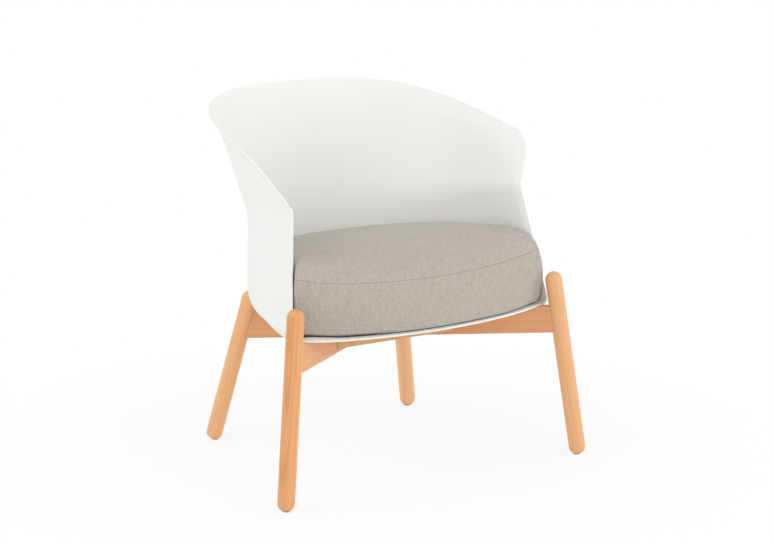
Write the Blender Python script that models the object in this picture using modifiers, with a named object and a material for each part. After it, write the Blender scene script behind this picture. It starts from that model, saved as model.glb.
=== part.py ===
"""Waiting-room armchair: a moulded tub shell with a boxed seat cushion on a beech frame.

Metres, +Z up. The chair faces -Y and its left side, as the sitter has it, is +X.
The origin lies on the floor, under the middle of the chair's outline.
The seat frame is a second frame that leans back with the rails: its XY plane is the rails' top.
"""
import math
from collections import namedtuple

import bmesh
import bpy
from mathutils import Matrix, Vector

# Fits
FIT = 0.0003                    # gap between two pieces that touch
PIN_END_GAP = 0.001             # space left at the bottom of a blind hole

# Legs: round bars with domed ends, splayed both ways
LEG_DIAMETER = 0.034
FOOT_SPREAD = 0.485             # front to rear feet
FRONT_FOOT_SPAN = 0.6856        # left to right front feet
REAR_FOOT_SPAN = 0.4788
FRONT_LEG_TOP = 0.383
REAR_LEG_TOP = 0.324
FRONT_SPLAY = (0.1222, 0.0919)  # inward shift in X and in Y for each metre of height
REAR_SPLAY = (0.2031, 0.1864)
GLIDE_HEIGHT = 0.004
GLIDE_DIAMETER = 0.016
GLIDE_PIN = (0.004, 0.014)      # diameter, length

# Rails: two boards that cross under the seat in a half lap, and a board in front of the crossing
SEAT_TILT = math.radians(4.75)
SEAT_HEIGHT = 0.2946            # top of the rails, midway between front and rear feet
RAIL_THICKNESS = 0.022
RAIL_DEPTH = 0.0545
EDGE_ROUND = 0.002
STRETCHER_FRONT = -0.0885
STRETCHER_THICKNESS = 0.022
STRETCHER_DEPTH = 0.0462
DOWEL = (0.008, 0.030)          # diameter, length
LEG_DOWEL_HEIGHTS = (-0.016, -0.039)
STRETCHER_DOWEL_HEIGHTS = (-0.014, -0.033)

# Shell: three sections through the tub, in the seat frame
Section = namedtuple("Section", "half_width front back squareness")
BASE_HALF_WIDTH = 0.300
BASE_FRONT = -0.195
BASE_BACK = 0.211
CREASE_HALF_WIDTH = 0.264
CREASE_FRONT = -0.162
CREASE_BACK = 0.223
RIM_HALF_WIDTH = 0.309
RIM_FRONT = -0.122
RIM_BACK = 0.2837
BASE = Section(BASE_HALF_WIDTH, BASE_FRONT, BASE_BACK, 2.5)
CREASE = Section(CREASE_HALF_WIDTH, CREASE_FRONT, CREASE_BACK, 2.6)
RIM = Section(RIM_HALF_WIDTH, RIM_FRONT, RIM_BACK, 2.9)
CREASE_HEIGHT = 0.2264          # above the rails at Y = 0
CREASE_SLOPE = -0.127
RIM_HEIGHT = 0.3754
RIM_SLOPE = 0.2955
SHELL_WALL = 0.006
BOTTOM_ROUND = (0.020, 0.085)   # reach of the rounding, at the arm fronts and round the back
CREASE_ROUND = (0.006, 0.045)
RIM_ROLL = (0.036, 0.010)       # height of the rolled rim, and how far it curls out
ARM_CORNER = 0.050              # rounding from the rim into the arm's front edge
ARM_FLARE = 0.0095              # the rim turns out toward the arm fronts
FLARE_START = 0.050
ROLL_FADE = 0.090               # the roll fades over this length toward the arm fronts
LIP_BOW = 0.038                 # the front lip runs forward in the middle
LIP_DIP = 0.017                 # and drops
DIP_START = -0.115
SHELL_COLUMNS = 20
LIP_COLUMNS = 10

# Cushion: plywood board, foam and a boxed cover
COVER_THICKNESS = 0.002
COVER_LIFT = 0.0009             # underside of the cover, over the wall of the pan
CUSHION_GAP = 0.003             # to the wall of the tub
CUSHION_SHOULDER = -0.1745      # where the sides end and the front begins
LIP_CLEAR = 0.002               # from the cushion to the front of the lip
CORNER_FULLNESS = 0.0110        # the front corners swell past the arms
CORNER_REACH = 0.013            # rounding of the front corners
BULGE_START = -0.178            # the boxing bulges in front of the arms
BULGE_FADE = 0.020
SEAM_FADE = 0.020
SEAM_HEIGHT = 0.120
SEAM_DIP = 0.0235               # the seam drops with the lip in the middle of the front
CROWN = 0.047
CROWN_LEAN = 0.2                # the crown is fuller toward the front
BOXING_BULGE = 0.011            # of the front, past the wall
FRONT_BOTTOM_ROUND = 0.003
ROUND_FADE = 0.12               # length over which the bottom rounding grows toward the back
CUSHION_COLUMNS = (7, 4, 8)      # along a side, round a front corner and along half the front
BOARD_THICKNESS = 0.012
BOARD_INSET = 0.004             # from the edge of the cover that is turned under

# Fasteners
BOLT_DIAMETER = 0.006
BOLT_HEAD = (0.012, 0.004)
COUNTERBORE = (0.015, 0.020)    # diameter, depth
BOLT_REACH_FRONT = 0.120        # along a rail, from the crossing
BOLT_REACH_REAR = 0.060
TEE_NUT_BARREL = (0.009, 0.009)
TEE_NUT_FLANGE = (0.019, 0.0015)

# Facets of round pieces
LEG_SIDES = 24
DOME_STEPS = 5
PIN_SIDES = 12

SEAT = Matrix.Translation((0, 0, SEAT_HEIGHT)) @ Matrix.Rotation(-SEAT_TILT, 4, "X")
LEG_RADIUS = LEG_DIAMETER / 2
FOOT_CENTRE = GLIDE_HEIGHT + math.sqrt(LEG_RADIUS ** 2 - (GLIDE_DIAMETER / 2) ** 2)
CORNERS = [(end, side) for end in ("front", "rear") for side in ("left", "right")]

PARTS = bpy.data.collections.new("waiting_room_armchair")
CUTTERS = bpy.data.collections.new("cutters")


# Blender helpers

def clear_scene():
    for obj in list(bpy.data.objects):
        bpy.data.objects.remove(obj, do_unlink=True)
    bpy.context.scene.collection.children.link(PARTS)
    bpy.context.scene.collection.children.link(CUTTERS)


def make_material(name, colour, roughness, metallic=0.0):
    mat = bpy.data.materials.new(name)
    mat.use_nodes = True
    shader = mat.node_tree.nodes["Principled BSDF"]
    shader.inputs["Base Color"].default_value = (*colour, 1.0)
    shader.inputs["Roughness"].default_value = roughness
    shader.inputs["Metallic"].default_value = metallic
    return mat


def make_empty(name, parent=None, matrix=None):
    empty = bpy.data.objects.new(name, None)
    PARTS.objects.link(empty)
    empty.parent = parent
    empty.matrix_basis = matrix or Matrix()
    return empty


def make_object(name, mesh, parent, material=None, place=None):
    """Link a mesh as a part, or as a cutter if it has no material."""
    obj = bpy.data.objects.new(name, mesh)
    obj.parent = parent
    obj.matrix_basis = place or Matrix()
    if material:
        PARTS.objects.link(obj)
        mesh.materials.append(material)
    else:
        CUTTERS.objects.link(obj)
        obj.hide_render = True
        obj.display_type = "WIRE"
    return obj


def mesh_from(bm, name, smooth_angle=None):
    mesh = bpy.data.meshes.new(name)
    bm.to_mesh(mesh)
    bm.free()
    if smooth_angle:
        mesh.shade_smooth()
        mesh.set_sharp_from_angle(angle=smooth_angle)
    return mesh


def box_mesh(name, size):
    bm = bmesh.new()
    bmesh.ops.create_cube(bm, size=1.0, matrix=Matrix.Diagonal((*size, 1.0)))
    return mesh_from(bm, name)


def add_strip(bm, first, second):
    """Quads between two rows of vertices."""
    for column in range(min(len(first), len(second)) - 1):
        bm.faces.new((first[column], second[column], second[column + 1], first[column + 1]))


def cylinder_mesh(name, diameter, length, sides=PIN_SIDES):
    """A cylinder along Z, about its middle."""
    bm = bmesh.new()
    radius = diameter / 2
    bmesh.ops.create_cone(bm, cap_ends=True, segments=sides, radius1=radius, radius2=radius, depth=length)
    return mesh_from(bm, name, math.radians(40))


def turned_object(name, profile, parent, material, place, sides=PIN_SIDES):
    """Turn a profile of (radius, height) points, given from the top down its outer side."""
    bm = bmesh.new()
    points = [bm.verts.new((radius, 0, height)) for radius, height in profile]
    for start, end in zip(points, points[1:]):
        bm.edges.new((start, end))
    obj = make_object(name, mesh_from(bm, name), parent, material, place)
    screw = obj.modifiers.new("turn", "SCREW")
    screw.steps = sides
    screw.render_steps = sides
    screw.use_merge_vertices = True
    screw.merge_threshold = 0.00001
    return obj


def add_bevel(obj, width, segments, angle=math.radians(50)):
    bevel = obj.modifiers.new("rounded_edges", "BEVEL")
    bevel.width = width
    bevel.segments = segments
    bevel.limit_method = "ANGLE"
    bevel.angle_limit = angle
    return bevel


def cut(obj, cutter):
    boolean = obj.modifiers.new(cutter.name, "BOOLEAN")
    boolean.operation = "DIFFERENCE"
    boolean.solver = "EXACT"
    boolean.object = cutter


def along(direction):
    """Rotation that takes Z to a direction."""
    return direction.to_track_quat("Z", "Y").to_matrix().to_4x4()


# Places in the frame

def leg_axis(end, side):
    """A leg's foot centre and top centre, in world axes."""
    sign = 1 if side == "left" else -1
    front = end == "front"
    span = FRONT_FOOT_SPAN if front else REAR_FOOT_SPAN
    splay = FRONT_SPLAY if front else REAR_SPLAY
    top = (FRONT_LEG_TOP if front else REAR_LEG_TOP) - LEG_RADIUS
    inward = Vector((-sign * splay[0], splay[1] if front else -splay[1], 1))
    foot = Vector((sign * span / 2, (-1 if front else 1) * FOOT_SPREAD / 2, FOOT_CENTRE))
    return foot, foot + inward * (top - FOOT_CENTRE)


def leg_at(end, side, height):
    """Where a leg's axis passes a height of the seat frame."""
    foot, top = (SEAT.inverted() @ point for point in leg_axis(end, side))
    return foot.lerp(top, (height - foot.z) / (top.z - foot.z))


def rail_ends(side):
    """A rail runs from the front leg of one side to the rear leg of the other."""
    other = "right" if side == "left" else "left"
    middle = -RAIL_DEPTH / 2
    return leg_at("front", side, middle), leg_at("rear", other, middle)


def rail_crossing():
    front, rear = rail_ends("left")
    return front.lerp(rear, front.x / (front.x - rear.x))


def rail_direction(side):
    """Level direction of a rail, from its front leg to its rear leg."""
    front, rear = rail_ends(side)
    return Vector((rear.x - front.x, rear.y - front.y, 0)).normalized()


def rail_place(side):
    front, rear = rail_ends(side)
    middle = (front + rear) / 2
    middle.z = -RAIL_DEPTH / 2
    way = rail_direction(side)
    return Matrix.Translation(middle) @ Matrix.Rotation(math.atan2(way.y, way.x), 4, "Z")


def bolt_spots():
    """Bolts stand on the rails, in the seat frame, named for the corner that they are nearest."""
    spots = {}
    crossing = rail_crossing()
    crossing.z = 0
    for side in ("left", "right"):
        other = "right" if side == "left" else "left"
        way = rail_direction(side)
        spots["front", side] = crossing - way * BOLT_REACH_FRONT
        spots["rear", other] = crossing + way * BOLT_REACH_REAR
    return spots


# Shell

def resample(points, stops):
    """Points at the given shares of a polyline's length."""
    lengths = [0.0]
    for start, end in zip(points, points[1:]):
        lengths.append(lengths[-1] + (end - start).length)
    result = []
    piece = 0
    for stop in stops:
        target = stop * lengths[-1]
        while piece < len(points) - 2 and lengths[piece + 1] < target:
            piece += 1
        share = (target - lengths[piece]) / (lengths[piece + 1] - lengths[piece])
        result.append(points[piece].lerp(points[piece + 1], min(share, 1.0)))
    return result


def half_outline(section, steps=240):
    """Left half of a section, from the middle of the back to the front end of the arm."""
    points = []
    for step in range(steps + 1):
        turn = math.pi / 2 * step / steps
        depth = max(math.cos(turn), 0.0) ** (2 / section.squareness)
        width = math.sin(turn) ** (2 / section.squareness)
        points.append(Vector((section.half_width * width, section.front + (section.back - section.front) * depth, 0)))
    return points


def column_shares(count, gather=1.7):
    """Shares of an outline's length, closer together toward its front end."""
    return [1 - (1 - step / count) ** gather for step in range(count + 1)]


def even_shares(count):
    return [step / count for step in range(count + 1)]


def smooth(value):
    value = min(max(value, 0.0), 1.0)
    return value * value * (3 - 2 * value)


def pan_drop(x, y):
    """How far the floor of the tub drops toward the middle of its front lip."""
    forward = max(DIP_START - y, 0.0) / (DIP_START - (BASE.front - LIP_BOW))
    middle = max(1 - (x / stretcher_half_length(y)) ** 2, 0.0)
    return LIP_DIP * forward ** 2 * middle ** 1.5


def bend(before, corner, after, reach, steps):
    """A corner rounded by a parabola that starts and ends at a distance from it."""
    start = corner + (before - corner).normalized() * reach
    end = corner + (after - corner).normalized() * reach
    return [start.lerp(corner, share).lerp(corner.lerp(end, share), share) for share in even_shares(steps)]


def inward_normals(points):
    """Level directions into an outline that runs from the back to the front on the left side."""
    normals = []
    for index, point in enumerate(points):
        ahead = points[min(index + 1, len(points) - 1)]
        behind = points[max(index - 1, 0)]
        run = ahead - behind
        normals.append(Vector((run.y, -run.x, 0)).normalized())
    normals[0] = Vector((0, -1, 0))
    return normals


def wall_columns(columns=SHELL_COLUMNS, steps=4):
    """Profiles of the tub's outer face, from the floor up to the rim, from the back to the arm's front."""
    shares = column_shares(columns)
    base = resample(half_outline(BASE), shares)
    crease = resample(half_outline(CREASE), shares)
    rim = resample(half_outline(RIM), shares)
    for point in rim:
        point.x += ARM_FLARE * (max(FLARE_START - point.y, 0.0) / (FLARE_START - RIM.front)) ** 2
        point.z = RIM_HEIGHT + RIM_SLOPE * point.y
    inward = inward_normals(base)
    profiles = []
    for share, low, middle, high, inside in zip(shares, base, crease, rim, inward):
        middle.z = CREASE_HEIGHT + CREASE_SLOPE * middle.y
        from_front = (high - rim[-1]).length
        if from_front < ARM_CORNER:
            shorten = ARM_CORNER * (1 - math.sqrt(1 - (1 - from_front / ARM_CORNER) ** 2))
            high = high + (middle - high).normalized() * shorten
        fade = smooth((1 - share) / 0.35)
        bottom_reach = BOTTOM_ROUND[0] + (BOTTOM_ROUND[1] - BOTTOM_ROUND[0]) * fade
        crease_reach = CREASE_ROUND[0] + (CREASE_ROUND[1] - CREASE_ROUND[0]) * (1 - share)
        outward = Vector((high.x - middle.x, high.y - middle.y, 0)).normalized()
        roll_reach = min(RIM_ROLL[0], (high - middle).length / 2)
        roll_out = RIM_ROLL[1] * smooth(from_front / ROLL_FADE)
        roll = high + (middle - high).normalized() * roll_reach - outward * roll_out
        profile = bend(low + inside, low, middle, bottom_reach, steps)
        profile += bend(low, middle, roll, crease_reach, steps)
        profile += bend(middle, roll, high, roll_reach * 0.6, 3)
        profile.append(high)
        profiles.append(profile)
    return profiles


def lip_points(corner, count):
    """The front lip, from an arm's corner to the middle."""
    points = []
    for step in range(1, count + 1):
        x = corner.x * (1 - step / count)
        y = corner.y - LIP_BOW * (1 - (x / corner.x) ** 2)
        points.append(Vector((x, y, 0)))
    return points


def shell_mesh(name):
    """Left half of the tub's outer face, open at the middle plane."""
    bm = bmesh.new()
    profiles = wall_columns()
    edge = [profile[0] for profile in profiles]
    edge += lip_points(edge[-1], LIP_COLUMNS)
    pole = Vector((0, (edge[0].y + edge[-1].y) / 2, 0))
    rings = [[pole.lerp(point, share) for point in edge] for share in (0.3, 0.6, 0.85, 1.0)]
    ring_verts = []
    for ring in rings:
        ring_verts.append([bm.verts.new((p.x, p.y, FIT - pan_drop(p.x, p.y))) for p in ring])
    centre = bm.verts.new((0, pole.y, FIT))
    for start, end in zip(ring_verts[0], ring_verts[0][1:]):
        bm.faces.new((centre, start, end))
    strips = list(zip(ring_verts, ring_verts[1:]))
    wall = [ring_verts[-1][:len(profiles)]]
    for row in range(1, len(profiles[0])):
        wall.append([bm.verts.new(profile[row] + Vector((0, 0, FIT))) for profile in profiles])
    strips += list(zip(wall, wall[1:]))
    for inner, outer in strips:
        add_strip(bm, inner, outer)
    return mesh_from(bm, name, math.radians(40))


def make_shell(parent, material):
    shell = make_object("shell", shell_mesh("shell"), parent, material)
    mirror = shell.modifiers.new("both_sides", "MIRROR")
    mirror.merge_threshold = 0.00001
    wall = shell.modifiers.new("wall", "SOLIDIFY")
    wall.thickness = SHELL_WALL
    wall.offset = -1
    for (end, side), spot in bolt_spots().items():
        hole = cylinder_mesh("hole", BOLT_DIAMETER + 2 * FIT, SHELL_WALL * 4)
        cut(shell, make_object(f"shell_hole_{end}_{side}", hole, parent, place=Matrix.Translation(spot)))
    return shell


# Cushion

def wall_section(height):
    """Section of the tub's outer wall at a height below the crease."""
    share = height / CREASE_HEIGHT
    return Section(*(low + (high - low) * share for low, high in zip(BASE, CREASE)))


def front_line(x):
    """Where the cushion's front runs behind the lip."""
    share = min(x / (BASE.half_width - BOTTOM_ROUND[0]), 1.0)
    return BASE.front - LIP_BOW * (1 - share ** 2) + LIP_CLEAR


def cushion_outline(inset):
    """Left half of the cushion's outline, from the middle of the back to the middle of the front."""
    wall = half_outline(wall_section(SEAM_HEIGHT))
    clear = SHELL_WALL + CUSHION_GAP + inset
    sides = [point + way * clear for point, way in zip(wall, inward_normals(wall))]
    sides = [point for point in sides if point.y > CUSHION_SHOULDER + inset]
    shoulder = sides[-1]
    corner = shoulder + Vector((max(CORNER_FULLNESS - inset, 0.0), 0, 0))
    steps = 24
    bow = [Vector((corner.x * (1 - step / steps), 0, 0)) for step in range(steps + 1)]
    for point in bow:
        point.y = front_line(point.x) + inset
    turn = bend(shoulder, bow[0], bow[1], CORNER_REACH, steps)
    front = [turn[-1]] + [point for point in bow if point.x < turn[-1].x]
    lines = [resample(line, even_shares(count)) for line, count in zip((sides, turn, front), CUSHION_COLUMNS)]
    return lines[0] + lines[1] + lines[2][1:]


def seam_drop(x, y):
    """How far the cushion's top seam drops toward the middle of the front."""
    forward = smooth((CUSHION_SHOULDER - y) / SEAM_FADE)
    return SEAM_DIP * forward * max(1 - (abs(x) / wall_section(SEAM_HEIGHT).half_width) ** 3, 0.0)


def cushion_rows(inset):
    """Rings of the cushion's surface, from the top of the crown to its underside."""
    edge = cushion_outline(inset)
    inward = inward_normals(edge)
    inward[-1] = Vector((0, 1, 0))
    middle = Vector((0, (edge[0].y + edge[-1].y) / 2, 0))
    seam = [Vector((p.x, p.y, SEAM_HEIGHT - inset - seam_drop(p.x, p.y))) for p in edge]
    rows = []
    for share in (0.35, 0.65, 0.86, 0.96):
        rise = CROWN * math.sqrt(1 - share ** 6)
        top = middle + Vector((0, 0, SEAM_HEIGHT - inset))
        row = [top.lerp(point, share) for point in seam]
        lean = [1 - CROWN_LEAN * (p.y - middle.y) / (edge[0].y - middle.y) for p in row]
        rows.append([p + Vector((0, 0, rise * part)) for p, part in zip(row, lean)])
    rows.append(seam)
    floor = SHELL_WALL + COVER_LIFT + inset
    bottom = []
    bulge = []
    for index, point in enumerate(edge):
        back = smooth((point.y - CUSHION_SHOULDER) / ROUND_FADE)
        reach = FRONT_BOTTOM_ROUND + (BOTTOM_ROUND[1] + CUSHION_GAP - FRONT_BOTTOM_ROUND) * back
        low = Vector((point.x, point.y, floor))
        path = bend(low + Vector((0, 0, 1)), low, low + inward[index], reach, 3)
        bottom.append([p - Vector((0, 0, pan_drop(p.x, p.y))) for p in path])
        swell = BOXING_BULGE * smooth((BULGE_START - point.y) / BULGE_FADE)
        bulge.append((seam[index] + path[0]) / 2 - inward[index] * swell)
    rows.append(bulge)
    rows += [list(ring) for ring in zip(*bottom)]
    return rows, middle


def cushion_mesh(name, inset, closed):
    """Left half of the cushion's surface. The cover is open underneath and the foam is closed."""
    bm = bmesh.new()
    rows, middle = cushion_rows(inset)
    rings = [[bm.verts.new(point) for point in row] for row in rows]
    crown = bm.verts.new(middle + Vector((0, 0, SEAM_HEIGHT - inset + CROWN)))
    for start, end in zip(rings[0], rings[0][1:]):
        bm.faces.new((crown, start, end))
    for upper, lower in zip(rings, rings[1:]):
        add_strip(bm, upper, lower)
    if closed:
        floor = bm.verts.new(middle + Vector((0, 0, SHELL_WALL + COVER_LIFT + inset)))
        for share in (0.8, 0.6, 0.4):
            ring = [middle.lerp(point, share) for point in rows[-1]]
            ring = [(p.x, p.y, floor.co.z - pan_drop(p.x, p.y)) for p in ring]
            rings.append([bm.verts.new(point) for point in ring])
        for upper, lower in zip(rings[-4:], rings[-3:]):
            add_strip(bm, upper, lower)
        for start, end in zip(rings[-1], rings[-1][1:]):
            bm.faces.new((floor, end, start))
    bmesh.ops.recalc_face_normals(bm, faces=bm.faces)
    return mesh_from(bm, name, math.radians(50))


def make_cushion(parent, fabric, foam_material, plywood):
    cover = make_object("cushion_cover", cushion_mesh("cushion_cover", 0, False), parent, fabric)
    foam = make_object("cushion_foam", cushion_mesh("cushion_foam", COVER_THICKNESS + 2 * FIT, True),
                       parent, foam_material)
    for half in (cover, foam):
        mirror = half.modifiers.new("both_sides", "MIRROR")
        mirror.merge_threshold = 0.00001
    cloth = cover.modifiers.new("cloth", "SOLIDIFY")
    cloth.thickness = COVER_THICKNESS
    cloth.offset = -1
    board = make_board("cushion_board", 0, parent, plywood)
    cut(foam, make_board("board_pocket", FIT, parent, None))
    barrel = TEE_NUT_BARREL[0] + 2 * FIT
    flange = (TEE_NUT_FLANGE[0] + 2 * FIT, TEE_NUT_FLANGE[1] * 4)
    top = SHELL_WALL + 2 * FIT + BOARD_THICKNESS
    for (end, side), spot in bolt_spots().items():
        place = Matrix.Translation(Vector((spot.x, spot.y, top)))
        hole = cylinder_mesh("hole", barrel, BOARD_THICKNESS * 4)
        cut(board, make_object(f"board_hole_{end}_{side}", hole, parent, place=place))
        pocket = cylinder_mesh("pocket", *flange)
        cut(foam, make_object(f"foam_pocket_{end}_{side}", pocket, parent, place=place))


def make_board(name, grow, parent, material):
    """Flat board on the floor of the tub, inside the edge of the cover that is turned under."""
    outline = cushion_outline(BOTTOM_ROUND[1] + CUSHION_GAP + BOARD_INSET - grow)
    outline += [Vector((-p.x, p.y, 0)) for p in reversed(outline[1:-1])]
    bm = bmesh.new()
    face = bm.faces.new([bm.verts.new((p.x, p.y, SHELL_WALL + 2 * FIT - grow)) for p in outline])
    height = BOARD_THICKNESS + 2 * grow
    raised = bmesh.ops.extrude_face_region(bm, geom=[face])["geom"]
    lifted = [item for item in raised if isinstance(item, bmesh.types.BMVert)]
    bmesh.ops.translate(bm, verts=lifted, vec=(0, 0, height))
    bmesh.ops.recalc_face_normals(bm, faces=bm.faces)
    return make_object(name, mesh_from(bm, name), parent, material)


# Wooden frame

def dome(radius, centre, start, end):
    turns = [math.radians(start + (end - start) * step / DOME_STEPS) for step in range(DOME_STEPS + 1)]
    return [(max(radius * math.cos(turn), 0.0), centre + radius * math.sin(turn)) for turn in turns]


def make_legs(chair, seat, beech, dowel_wood):
    for end, side in CORNERS:
        foot, top = leg_axis(end, side)
        length = (top - foot).length
        profile = dome(LEG_RADIUS, length, 90, 0) + dome(LEG_RADIUS, 0, 0, -90)
        profile[0] = (0.0, length + LEG_RADIUS)
        profile[-1] = (0.0, -LEG_RADIUS)
        place = Matrix.Translation(foot) @ along(top - foot)
        leg = turned_object(f"leg_{end}_{side}", profile, chair, beech, place, LEG_SIDES)
        flat = box_mesh("flat", (LEG_DIAMETER * 2, LEG_DIAMETER * 2, LEG_DIAMETER))
        below = Matrix.Translation((foot.x, foot.y, GLIDE_HEIGHT + FIT - LEG_DIAMETER / 2))
        cut(leg, make_object(f"foot_flat_{end}_{side}", flat, chair, place=below))
        pin = cylinder_mesh("pin", GLIDE_PIN[0] + 2 * FIT, (GLIDE_PIN[1] + PIN_END_GAP) * 2)
        at_foot = Matrix.Translation((foot.x, foot.y, GLIDE_HEIGHT))
        cut(leg, make_object(f"glide_hole_{end}_{side}", pin, chair, place=at_foot))
        for number, height in enumerate(LEG_DOWEL_HEIGHTS, 1):
            hole = make_leg_dowel(end, side, number, height, seat, dowel_wood)
            cut(leg, hole)


def rail_of(end, side):
    """The rail that a leg carries, and the direction along it away from the leg."""
    if end == "front":
        return side, rail_direction(side)
    other = "right" if side == "left" else "left"
    return other, -rail_direction(other)


def make_leg_dowel(end, side, number, height, seat, material):
    """A dowel half in the leg and half in the rail. Returns the cutter for its holes."""
    way = rail_of(end, side)[1]
    centre = leg_at(end, side, height) + way * LEG_RADIUS
    place = Matrix.Translation(centre) @ along(way)
    name = f"leg_dowel_{end}_{side}_{number}"
    make_object(name, cylinder_mesh(name, *DOWEL), seat, material, place)
    hole = cylinder_mesh("hole", DOWEL[0] + 2 * FIT, DOWEL[1] + 2 * PIN_END_GAP)
    return make_object(f"{name}_hole", hole, seat, place=place)


def make_rails(chair, seat, beech):
    """Two crossed rails, coped to the legs and halved into each other."""
    rails = {}
    for side in ("left", "right"):
        front, rear = rail_ends(side)
        size = ((rear - front).length, RAIL_THICKNESS, RAIL_DEPTH)
        name = f"rail_front_{side}_to_rear_{'right' if side == 'left' else 'left'}"
        rail = make_object(name, box_mesh(name, size), seat, beech, rail_place(side))
        add_bevel(rail, EDGE_ROUND, 2)
        rails[side] = rail
    for side, rail in rails.items():
        other = "right" if side == "left" else "left"
        lap = box_mesh("lap", (RAIL_THICKNESS * 6, RAIL_THICKNESS + 2 * FIT, RAIL_DEPTH))
        half = RAIL_DEPTH / 2 if side == "left" else -RAIL_DEPTH / 2
        crossing = rail_crossing()
        crossing.z = -RAIL_DEPTH / 2 + half - math.copysign(FIT / 2, half)
        turn = rail_place(other).to_3x3().to_4x4()
        cut(rail, make_object(f"half_lap_{side}", lap, seat, place=Matrix.Translation(crossing) @ turn))
        for end, leg_side in (("front", side), ("rear", other)):
            foot, top = leg_axis(end, leg_side)
            cope = cylinder_mesh("cope", LEG_DIAMETER + 2 * FIT, (top - foot).length * 2, LEG_SIDES * 2)
            place = Matrix.Translation(top) @ along(top - foot)
            cut(rail, make_object(f"cope_{end}_{leg_side}", cope, chair, place=place))
            for number in range(1, len(LEG_DOWEL_HEIGHTS) + 1):
                cut(rail, bpy.data.objects[f"leg_dowel_{end}_{leg_side}_{number}_hole"])
    return rails


def stretcher_half_length(y):
    """Half the room between the two rails at a place in front of their crossing."""
    way = rail_direction("left")
    crossing = rail_crossing()
    return (crossing.y - y) * -way.x / way.y - RAIL_THICKNESS / 2 / way.y - FIT / way.y


def make_stretcher(seat, rails, beech, dowel_wood):
    """A board between the rails, with its ends cut to their angle and dowelled."""
    rear = STRETCHER_FRONT + STRETCHER_THICKNESS
    bm = bmesh.new()
    bmesh.ops.create_cube(bm, size=1.0)
    for vert in bm.verts:
        y = STRETCHER_FRONT if vert.co.y < 0 else rear
        z = 0.0 if vert.co.z > 0 else -STRETCHER_DEPTH
        vert.co = (math.copysign(stretcher_half_length(y), vert.co.x), y, z)
    stretcher = make_object("front_stretcher", mesh_from(bm, "front_stretcher"), seat, beech)
    add_bevel(stretcher, EDGE_ROUND, 2)
    middle = (STRETCHER_FRONT + rear) / 2
    for side, sign in (("left", 1), ("right", -1)):
        for number, height in enumerate(STRETCHER_DOWEL_HEIGHTS, 1):
            name = f"stretcher_dowel_{side}_{number}"
            centre = Vector((sign * (stretcher_half_length(middle) + FIT), middle, height))
            place = Matrix.Translation(centre) @ along(Vector((1, 0, 0)))
            make_object(name, cylinder_mesh(name, *DOWEL), seat, dowel_wood, place)
            hole = cylinder_mesh("hole", DOWEL[0] + 2 * FIT, DOWEL[1] + 2 * PIN_END_GAP)
            cutter = make_object(f"{name}_hole", hole, seat, place=place)
            cut(stretcher, cutter)
            cut(rails[side], cutter)


def make_glides(chair, plastic):
    radius = GLIDE_DIAMETER / 2
    pin_radius, pin_length = GLIDE_PIN[0] / 2, GLIDE_PIN[1]
    top = GLIDE_HEIGHT + pin_length
    soft = GLIDE_HEIGHT / 4
    profile = [(0, top), (pin_radius, top), (pin_radius, GLIDE_HEIGHT), (radius, GLIDE_HEIGHT),
               (radius, soft), (radius - soft, 0), (0, 0)]
    for end, side in CORNERS:
        foot = leg_axis(end, side)[0]
        place = Matrix.Translation((foot.x, foot.y, 0))
        turned_object(f"glide_{end}_{side}", profile, chair, plastic, place, PIN_SIDES * 2)


# Fasteners

def make_bolts(seat, rails, steel):
    """Bolts from under the rails, through the shell and the board, into tee nuts."""
    head_radius, head_height = BOLT_HEAD[0] / 2, BOLT_HEAD[1]
    seat_of_head = COUNTERBORE[1] - RAIL_DEPTH - FIT
    board_top = SHELL_WALL + 2 * FIT + BOARD_THICKNESS
    radius = BOLT_DIAMETER / 2
    profile = [(0, board_top), (radius, board_top), (radius, seat_of_head), (head_radius, seat_of_head),
               (head_radius, seat_of_head - head_height / 2), (radius, seat_of_head - head_height),
               (0, seat_of_head - head_height)]
    flange_radius, flange = TEE_NUT_FLANGE[0] / 2, TEE_NUT_FLANGE[1]
    barrel_radius, barrel = TEE_NUT_BARREL[0] / 2, TEE_NUT_BARREL[1]
    bore = radius + FIT
    nut = [(bore, flange), (flange_radius, flange), (flange_radius, 0), (barrel_radius, 0),
           (barrel_radius, -barrel), (bore, -barrel), (bore, flange)]
    for (end, side), spot in bolt_spots().items():
        rail = rails[rail_of(end, side)[0]]
        place = Matrix.Translation((spot.x, spot.y, 0))
        turned_object(f"seat_bolt_{end}_{side}", profile, seat, steel, place)
        nut_place = Matrix.Translation((spot.x, spot.y, board_top + FIT))
        turned_object(f"tee_nut_{end}_{side}", nut, seat, steel, nut_place)
        shank = cylinder_mesh("shank", BOLT_DIAMETER + 2 * FIT, RAIL_DEPTH * 3)
        cut(rail, make_object(f"shank_hole_{end}_{side}", shank, seat, place=place))
        below = Matrix.Translation((spot.x, spot.y, -RAIL_DEPTH))
        counterbore = cylinder_mesh("counterbore", COUNTERBORE[0], COUNTERBORE[1] * 2)
        cut(rail, make_object(f"counterbore_{end}_{side}", counterbore, seat, place=below))


def centre_over_origin(chair):
    """Move the chair so that the origin lies under the middle of its outline."""
    bpy.context.view_layer.update()
    graph = bpy.context.evaluated_depsgraph_get()
    reach = []
    for obj in PARTS.objects:
        if obj.type == "MESH":
            solid = obj.evaluated_get(graph)
            reach += [(solid.matrix_world @ vert.co).y for vert in solid.data.vertices]
    chair.location.y = -(min(reach) + max(reach)) / 2


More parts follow.
